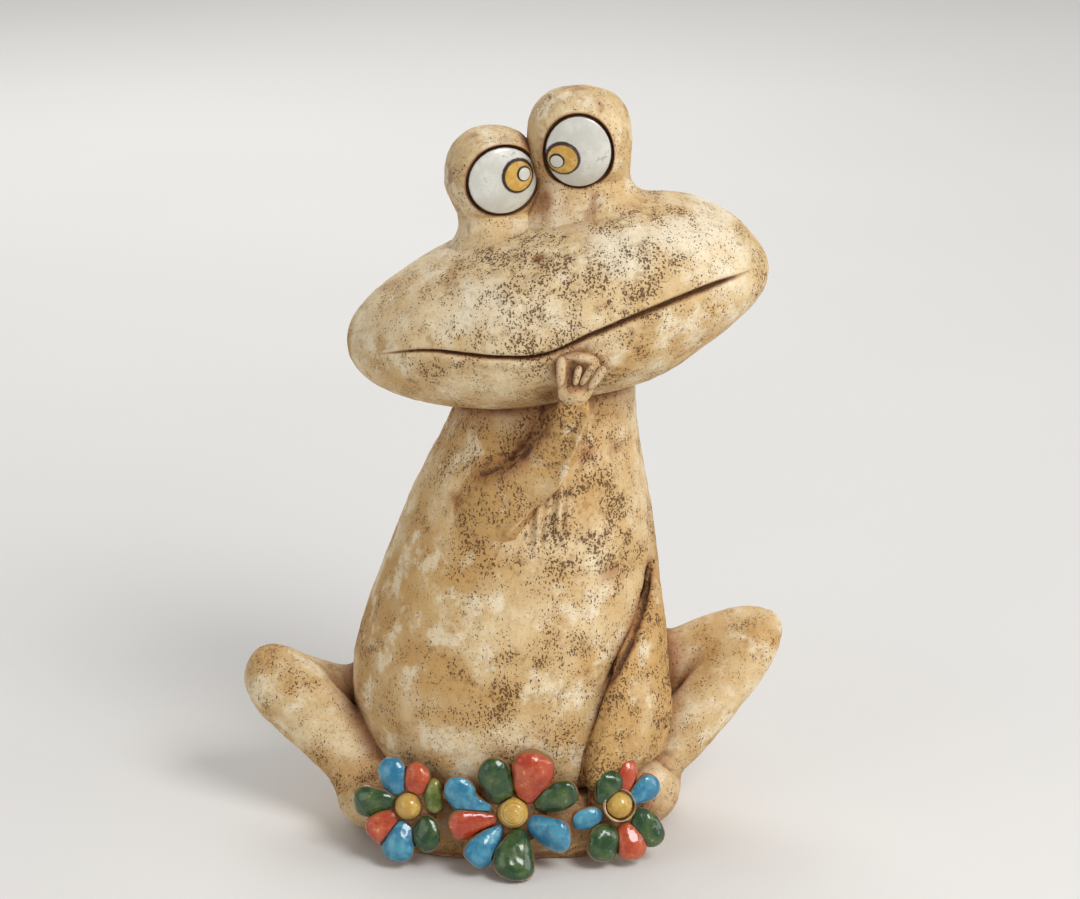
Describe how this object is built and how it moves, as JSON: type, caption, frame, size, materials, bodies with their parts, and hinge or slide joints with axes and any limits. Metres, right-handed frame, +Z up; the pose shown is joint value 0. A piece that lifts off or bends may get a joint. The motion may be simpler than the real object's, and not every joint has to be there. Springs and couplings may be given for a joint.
{
  "type": "frog figurine",
  "caption": "Seated ceramic frog ornament with a wide tilted head, ball eyes, one hand at its mouth and glazed clay flowers along its base.",
  "frame": {"origin": "centre of the foot ring that the base stands on, on the surface under it", "axes": "+Z up, -Y the way the frog faces, +X towards the frog's own left"},
  "size_m": [0.1686, 0.1064, 0.2332],
  "materials": {
    "fired_clay": "unglazed cream clay with a brown wash rubbed into pits and creases",
    "white_glaze": "glossy pale white glaze",
    "iris_glaze": "glossy golden yellow glaze",
    "bead_glaze": "glossy ochre yellow glaze",
    "blue_glaze": "glossy sky blue glaze, thin on the edges",
    "red_glaze": "glossy mottled orange red glaze",
    "green_glaze": "glossy mottled dark green glaze",
    "lime_glaze": "glossy mottled yellow green glaze"
  },
  "bodies": {
    "root": {"base": "fired_clay", "head": "fired_clay", "left_arm": "fired_clay", "left_eye_ball": "fired_clay", "left_eye_white": "white_glaze", "left_flower_bead": "bead_glaze", "left_flower_blue_petal_3": "blue_glaze", "left_flower_blue_petal_7": "blue_glaze", "left_flower_green_petal_1": "green_glaze", "left_flower_green_petal_4": "green_glaze", "left_flower_green_petal_6": "green_glaze", "left_flower_mound": "fired_clay", "left_flower_red_petal_2": "red_glaze", "left_flower_red_petal_5": "red_glaze", "left_flower_ring": "fired_clay", "left_foot": "fired_clay", "left_highlight": "white_glaze", "left_iris": "iris_glaze", "left_shin": "fired_clay", "left_thigh": "fired_clay", "middle_flower_bead": "bead_glaze", "middle_flower_blue_petal_4": "blue_glaze", "middle_flower_blue_petal_6": "blue_glaze", "middle_flower_blue_petal_8": "blue_glaze", "middle_flower_green_petal_1": "green_glaze", "middle_flower_green_petal_3": "green_glaze", "middle_flower_green_petal_5": "green_glaze", "middle_flower_mound": "fired_clay", "middle_flower_red_petal_2": "red_glaze", "middle_flower_red_petal_7": "red_glaze", "right_arm": "fired_clay", "right_eye_ball": "fired_clay", "right_eye_white": "white_glaze", "right_finger_1": "fired_clay", "right_finger_2": "fired_clay", "right_finger_3": "fired_clay", "right_finger_4": "fired_clay", "right_flower_bead": "bead_glaze", "right_flower_blue_petal_1": "blue_glaze", "right_flower_blue_petal_5": "blue_glaze", "right_flower_green_petal_4": "green_glaze", "right_flower_green_petal_7": "green_glaze", "right_flower_lime_petal_3": "lime_glaze", "right_flower_mound": "fired_clay", "right_flower_red_petal_2": "red_glaze", "right_flower_red_petal_6": "red_glaze", "right_foot": "fired_clay", "right_hand": "fired_clay", "right_highlight": "white_glaze", "right_iris": "iris_glaze", "right_shin": "fired_clay", "right_thigh": "fired_clay", "torso": "fired_clay"}
  },
  "joints": []
}
